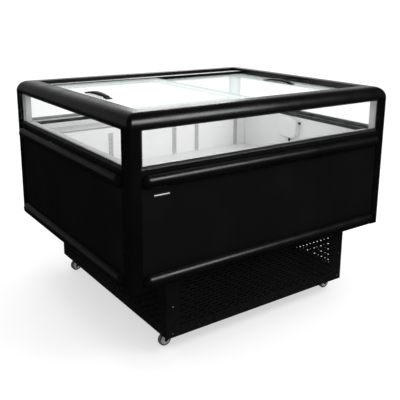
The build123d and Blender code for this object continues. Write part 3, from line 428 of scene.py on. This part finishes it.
def screw(mesh, place, radius=4 * MM, height=2 * MM):
    """Pan head screw with a cross recess, standing on the place's z axis."""
    dome = [(radius, 0), (radius, height * 0.35), (radius * 0.8, height * 0.8), (radius * 0.45, height)]
    rings = []
    segments = 24
    for step in range(segments):
        turn = Matrix.Rotation(2 * math.pi * step / segments, 4, "Z")
        slot_here = step % (segments // 4) == 0
        inner = [(radius * 0.45, height), (radius * 0.12, height * 0.5)]
        dip = height * 0.45 if slot_here else 0
        outline = dome[:3] + [(r, h - dip * (i == 0)) for i, (r, h) in enumerate(inner)]
        rings.append([mesh.verts.new(place @ turn @ Vector((r, 0, h))) for r, h in outline])
    for step in range(segments):
        ring = rings[step]
        following = rings[(step + 1) % segments]
        for i in range(len(ring) - 1):
            mesh.faces.new((ring[i], ring[i + 1], following[i + 1], following[i]))
    mesh.faces.new([ring[-1] for ring in rings])
    mesh.faces.new([ring[0] for ring in reversed(rings)])


# ---- caster wheels ----
TYRE_THICKNESS = 7 * MM
WHEEL_BORE = 3.05 * MM
HUB_BOSS = 4 * MM
HUB_WEB = 4 * MM  # half thickness of the hub's web


def caster_wheel(corner):
    """Tyre with a crowned tread on a hub with a boss, a thin web and a lipped rim, in place of the plain
    wheel.
    """
    node = f"caster_wheel_{corner}"
    low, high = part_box(node)
    middle = (low + high) / 2
    radius = (high.z - low.z) / 2
    half = (high.y - low.y) / 2
    place = Matrix.Translation(middle) @ Matrix.Rotation(math.radians(90), 4, "X")
    rim = radius - TYRE_THICKNESS
    tyre = bmesh.new()
    corners = [(rim, -half), (radius, -half), (radius, half), (rim, half)]
    lathe(tyre, rounded_profile(corners, (0.5 * MM, 4 * MM, 4 * MM, 0.5 * MM)), place, 72)
    tread = piece(f"tyre_{corner}", tyre, "tyre", f"wheel_{corner}")
    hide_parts(node)
    hub = bmesh.new()
    bore = WHEEL_BORE
    boss = bore + HUB_BOSS
    web = HUB_WEB
    corners = [
        (bore, -half), (boss, -half), (boss + 1 * MM, -web), (rim - 3 * MM, -web),
        (rim - 2 * MM, -half + 1 * MM), (rim, -half + 0.8 * MM), (rim, half - 0.8 * MM),
        (rim - 2 * MM, half - 1 * MM), (rim - 3 * MM, web), (boss + 1 * MM, web), (boss, half), (bore, half),
    ]
    lathe(hub, corners, place, 48)
    piece(f"hub_{corner}", hub, "hub", f"wheel_{corner}")


for corner in CORNERS:
    caster_wheel(corner)


# ---- lid handles ----
HANDLE_STEPS = 40
FOOT_SHARE = 0.2  # of half the handle's length
FOOT_THICKNESS = 4 * MM
FINGER_GAP = 5 * MM
HANDLE_END = 6 * MM  # length over which the ends are rounded
HANDLE_CROWN = 3 * MM


def lid_handle(side):
    """Thick bow handle on two flat feet, in place of the plain bow."""
    node = f"lid_handle_{side}"
    low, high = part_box(node)
    middle = (low + high) / 2
    half = (high.y - low.y) / 2
    rise = high.z - low.z
    foot = FOOT_SHARE * half
    mesh = bmesh.new()
    rings = []
    for step in range(HANDLE_STEPS + 1):
        along = -half + 2 * half * step / HANDLE_STEPS
        inward = min(max((half - abs(along)) / (half - foot) - foot / (half - foot), 0), 1)
        bow = math.sin(inward * math.pi / 2) ** 0.55
        top = FOOT_THICKNESS + (rise - FOOT_THICKNESS) * bow
        under = FINGER_GAP * min(1, inward * 5)
        end = min((half - abs(along)) / HANDLE_END, 1)
        width = (high.x - low.x) / 2 * (0.55 + 0.45 * math.sqrt(max(1 - (1 - end) ** 2, 0)))
        width *= 1 - 0.12 * bow
        crown = min(HANDLE_CROWN, (top - under) * 0.45)
        right = [
            (width, under), (width, top - crown),
            (width - 0.3 * crown, top - 0.3 * crown), (width - crown, top),
        ]
        outline = [(-width, under), *right, *((-x, z) for x, z in reversed(right[1:]))]
        rings.append([mesh.verts.new((middle.x + x, middle.y + along, low.z + z)) for x, z in outline])
    for ring, following in zip(rings, rings[1:]):
        for i in range(len(ring)):
            j = (i + 1) % len(ring)
            mesh.faces.new((ring[i], ring[j], following[j], following[i]))
    mesh.faces.new(rings[0])
    mesh.faces.new(list(reversed(rings[-1])))
    bow_piece = piece(f"bow_{side}", mesh, "handle", f"lid_{side}")
    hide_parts(node)


for side in ("left", "right"):
    lid_handle(side)


# ---- small fastenings ----
GRILLE_SCREW_INSET = 9 * MM
GRILLE_SCREW_END = 14 * MM
DUCT_SCREW_INSET = 40 * MM
DUCT_SCREW_SHARES = (-0.75, -0.25, 0.25, 0.75)  # of half the shortened panel length
DUCT_SHORTENED = 0.97
CLIP_DEPTH = 10 * MM
CLIP_EDGE = 1.2 * MM


def grille_screws(side):
    """Screws along the upright edges of a grille."""
    low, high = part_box(f"grille_{side}")
    along_x = side in ("front", "rear")
    out = max(abs(low.y), abs(high.y)) if along_x else max(abs(low.x), abs(high.x))
    half = (high.x - low.x) / 2 if along_x else (high.y - low.y) / 2
    mesh = bmesh.new()
    heights = (low.z + GRILLE_SCREW_END, (low.z + high.z) / 2, high.z - GRILLE_SCREW_END)
    for shift in (-half + GRILLE_SCREW_INSET, half - GRILLE_SCREW_INSET):
        for height in heights:
            screw(mesh, side_place(side, out, shift, height), 3.4 * MM, 1.6 * MM)
    piece(f"grille_screws_{side}", mesh, "screw", "cabinet")


for side in SIDES:
    grille_screws(side)


def duct_screws():
    """Screws on the folded tops of the two duct panels."""
    low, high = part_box("duct_panels")
    mesh = bmesh.new()
    for way in (-1, 1):
        for share in DUCT_SCREW_SHARES:
            x = share * (high.x - low.x) / 2 * DUCT_SHORTENED
            y = way * (high.y - DUCT_SCREW_INSET)
            screw(mesh, Matrix.Translation((x, y, high.z)), 3.5 * MM, 1.5 * MM)
    piece("duct_screws", mesh, "screw", "cabinet")


duct_screws()


def pod_clips():
    """Small dark clips that hold the air cover to the end wall."""
    low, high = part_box("wall_pod")
    mesh = bmesh.new()
    clips = (
        (low.y - 3 * MM, high.z - 22 * MM, 10 * MM, 9 * MM),
        ((low.y + high.y) / 2, low.z - 10 * MM, 6 * MM, 20 * MM),
    )
    for y, z, wide, tall in clips:
        place = Matrix.Translation((high.x - CLIP_DEPTH / 2, y, z))
        shape = Matrix.Diagonal((CLIP_DEPTH, wide, tall, 1))
        bmesh.ops.create_cube(mesh, size=1, matrix=place @ shape)
    bmesh.ops.bevel(mesh, geom=mesh.edges[:], offset=CLIP_EDGE, segments=2, affect="EDGES")
    piece("pod_clips", mesh, "socket", "cabinet")


pod_clips()


# ---- floor, light and camera ----
ROOM_LIGHT = 1.25
FLOOR_SIZE = 30
FLOOR_GREY = (0.42, 0.42, 0.42)
FLOOR_GLOW = 0.55
# how bright the room is in a mirrored ray, by its direction from -1 to 1 laid over 0 to 1
MIRRORED_SWEEP = {
    "Z": ((0.0, 0.02), (0.49, 0.02), (0.52, 0.75), (0.69, 0.65), (0.76, 0.07), (1.0, 0.12)),
    "Y": ((0.0, 0.06), (0.5, 0.10), (0.7, 0.6), (1.0, 1.0)),
    "X": ((0.0, 0.25), (0.42, 0.25), (0.62, 1.0), (1.0, 1.0)),
}
# name, place, target, width, height, radiance, whether gloss mirrors it
SOFT_BOXES = (
    ("key", (0.9, -2.1, 2.3), (-0.2, -0.5, 0.7), 1.1, 1.0, 8.0, True),
    ("rear", (1.5, 2.3, 1.9), (0.1, 0.5, 0.7), 1.0, 0.8, 4.0, True),
    ("top", (0, 0.2, 3.4), (0, 0, 0.8), 2.6, 2.2, 1.5, False),
)
# a lens of LENS pixels on a frame of FRAME pixels, from the fit to the outlines
SENSOR = 36.0
FRAME = 400
LENS = 603.4
LENS_SHIFT = -0.12
CAMERA_PLACE = (-1.472, -2.105, 1.232)
CAMERA_TURN = -35.26
CAMERA_DIP = 13.85
CAMERA_ROLL = 0.45


def studio_floor():
    """Pale floor with a little glow, so that the shadow on it stays light."""
    mesh = bmesh.new()
    bmesh.ops.create_grid(mesh, x_segments=1, y_segments=1, size=FLOOR_SIZE)
    data = bpy.data.meshes.new("studio_floor")
    mesh.to_mesh(data)
    mesh.free()
    floor = bpy.data.objects.new("studio_floor", data)
    bpy.context.scene.collection.objects.link(floor)
    paint = Shader("studio_floor", FLOOR_GREY, 0.15, specular=0.05)
    paint.bsdf.inputs["Emission Color"].default_value = (1, 1, 1, 1)
    paint.bsdf.inputs["Emission Strength"].default_value = FLOOR_GLOW
    paint.rough(paint.between(paint.noise(2, 3), 0.13, 0.17))
    data.materials.append(paint.material)
    floor.visible_glossy = False


def studio_world():
    """White room, of which gloss mirrors only a low white sweep behind the freezer."""
    world = bpy.data.worlds.new("studio")
    bpy.context.scene.world = world
    world.use_nodes = True
    world.cycles.sampling_method = "NONE"
    nodes = world.node_tree.nodes
    links = world.node_tree.links
    background = nodes["Background"]
    background.inputs["Color"].default_value = (1, 1, 1, 1)
    place = nodes.new("ShaderNodeTexCoord")
    split = nodes.new("ShaderNodeSeparateXYZ")
    links.new(place.outputs["Generated"], split.inputs["Vector"])

    def ramp(source, stops):
        """Value along a source, straight between (position, value) stops."""
        curve = nodes.new("ShaderNodeFloatCurve")
        points = curve.mapping.curves[0].points
        points[0].location = stops[0]
        points[1].location = stops[-1]
        for stop in stops[1:-1]:
            points.new(*stop)
        for point in points:
            point.handle_type = "VECTOR"
        curve.mapping.update()
        shift = nodes.new("ShaderNodeMapRange")
        shift.inputs["From Min"].default_value = -1
        links.new(source, shift.inputs["Value"])
        links.new(shift.outputs["Result"], curve.inputs["Value"])
        return curve.outputs["Value"]

    mirrored = ramp(split.outputs["Z"], MIRRORED_SWEEP["Z"])
    for axis in ("Y", "X"):
        product = nodes.new("ShaderNodeMath")
        product.operation = "MULTIPLY"
        links.new(mirrored, product.inputs[0])
        links.new(ramp(split.outputs[axis], MIRRORED_SWEEP[axis]), product.inputs[1])
        mirrored = product.outputs["Value"]
    path = nodes.new("ShaderNodeLightPath")
    seen = nodes.new("ShaderNodeMix")
    seen.data_type = "FLOAT"
    links.new(path.outputs["Is Glossy Ray"], seen.inputs["Factor"])
    seen.inputs["A"].default_value = ROOM_LIGHT
    links.new(mirrored, seen.inputs["B"])
    links.new(seen.outputs["Result"], background.inputs["Strength"])


def soft_box(name, position, target, width, height, radiance, mirrored):
    """Rectangular soft light aimed at a point, with an even radiance over its face."""
    lamp = bpy.data.lights.new(name, "AREA")
    lamp.shape = "RECTANGLE"
    lamp.size = width
    lamp.size_y = height
    lamp.energy = radiance * math.pi * width * height
    light = bpy.data.objects.new(name, lamp)
    light.location = position
    aim = Vector(target) - Vector(position)
    light.rotation_euler = aim.to_track_quat("-Z", "Y").to_euler()
    light.visible_glossy = mirrored
    bpy.context.scene.collection.objects.link(light)


def photo_camera():
    """Camera at the photograph's viewing angle."""
    data = bpy.data.cameras.new("camera")
    data.sensor_width = SENSOR
    data.lens = LENS / FRAME * SENSOR
    data.shift_y = LENS_SHIFT
    camera = bpy.data.objects.new("camera", data)
    turn = Matrix.Rotation(math.radians(CAMERA_TURN), 4, "Z")
    tilt = Matrix.Rotation(math.radians(90 - CAMERA_DIP), 4, "X")
    roll = Matrix.Rotation(math.radians(CAMERA_ROLL), 4, "Z")
    camera.matrix_world = Matrix.Translation(CAMERA_PLACE) @ turn @ tilt @ roll
    bpy.context.scene.collection.objects.link(camera)
    bpy.context.scene.camera = camera


studio_floor()
studio_world()
for box in SOFT_BOXES:
    soft_box(*box)
photo_camera()
bpy.context.scene.view_settings.view_transform = "Standard"
bpy.context.scene.cycles.transparent_max_bounces = 32
